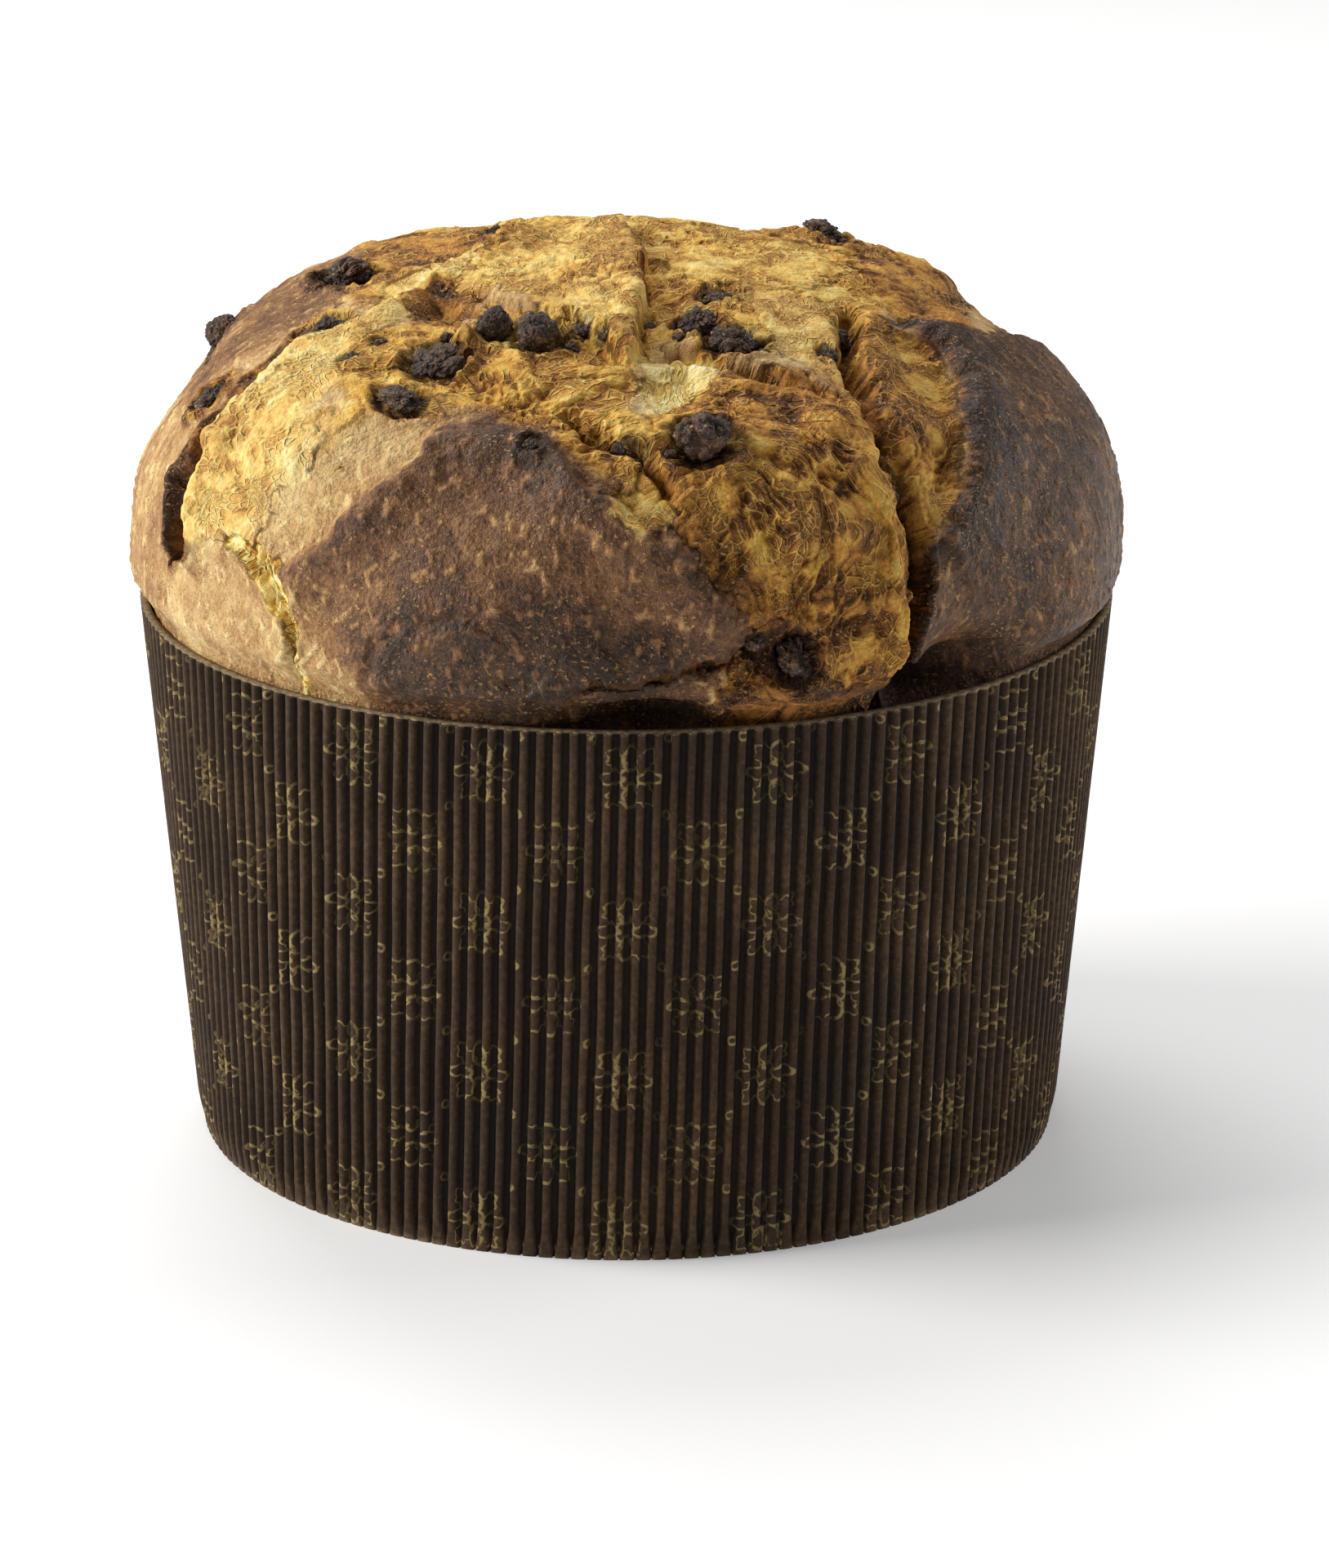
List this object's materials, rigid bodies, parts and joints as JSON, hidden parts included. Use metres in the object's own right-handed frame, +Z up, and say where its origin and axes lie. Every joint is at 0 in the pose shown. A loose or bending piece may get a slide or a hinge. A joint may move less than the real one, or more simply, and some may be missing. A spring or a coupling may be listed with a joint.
{
  "type": "panettone",
  "caption": "Tall domed sweet bread, its crown torn open in baking and set with chocolate lumps, in a flared fluted paper mould.",
  "frame": {"origin": "middle of the underside of the paper base", "axes": "+Z up; the side that the picture shows faces -Y"},
  "size_m": [0.1926, 0.197, 0.1772],
  "materials": {
    "crust": "baked crust, dark brown on the ridges, golden and pale where it has torn",
    "paper": "matt dark brown baking paper with a thin gold print",
    "chocolate": "dark baked chocolate, satin"
  },
  "bodies": {
    "root": {"bread": "crust", "paper_wall": "paper", "paper_base": "paper", "chocolate_01": "chocolate", "chocolate_02": "chocolate", "chocolate_03": "chocolate", "chocolate_04": "chocolate", "chocolate_05": "chocolate", "chocolate_06": "chocolate", "chocolate_07": "chocolate", "chocolate_08": "chocolate", "chocolate_09": "chocolate", "chocolate_10": "chocolate", "chocolate_11": "chocolate", "chocolate_12": "chocolate", "chocolate_13": "chocolate", "chocolate_14": "chocolate", "chocolate_15": "chocolate", "chocolate_16": "chocolate", "chocolate_17": "chocolate"}
  },
  "joints": []
}
